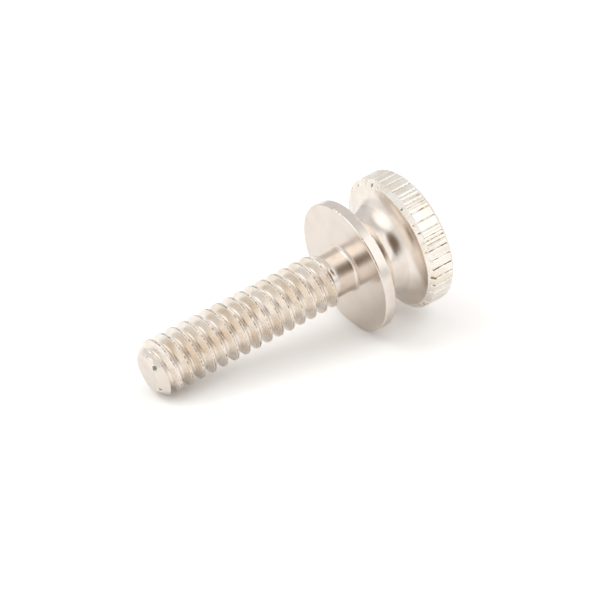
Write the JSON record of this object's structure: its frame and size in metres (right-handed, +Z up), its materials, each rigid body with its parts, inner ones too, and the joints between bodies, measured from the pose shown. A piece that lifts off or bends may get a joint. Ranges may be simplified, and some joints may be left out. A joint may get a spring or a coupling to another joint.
{
  "type": "thumb screw",
  "caption": "Knurled thumb screw with a coved neck, a round collar that clamps, a short plain shank and a machine thread with a chamfered tip; nickel plated, lying at rest.",
  "frame": {"origin": "on the surface that the screw lies on, under the middle of its box", "axes": "+X towards the head along the length, +Z up; the screw lies on its collar's rim and its tip"},
  "size_m": [0.0266, 0.0116, 0.0125],
  "materials": {
    "nickel_plate": "bright nickel plate on turned and thread-rolled steel, lightly handled"
  },
  "bodies": {
    "root": {"thumb_screw": "nickel_plate"}
  },
  "joints": []
}
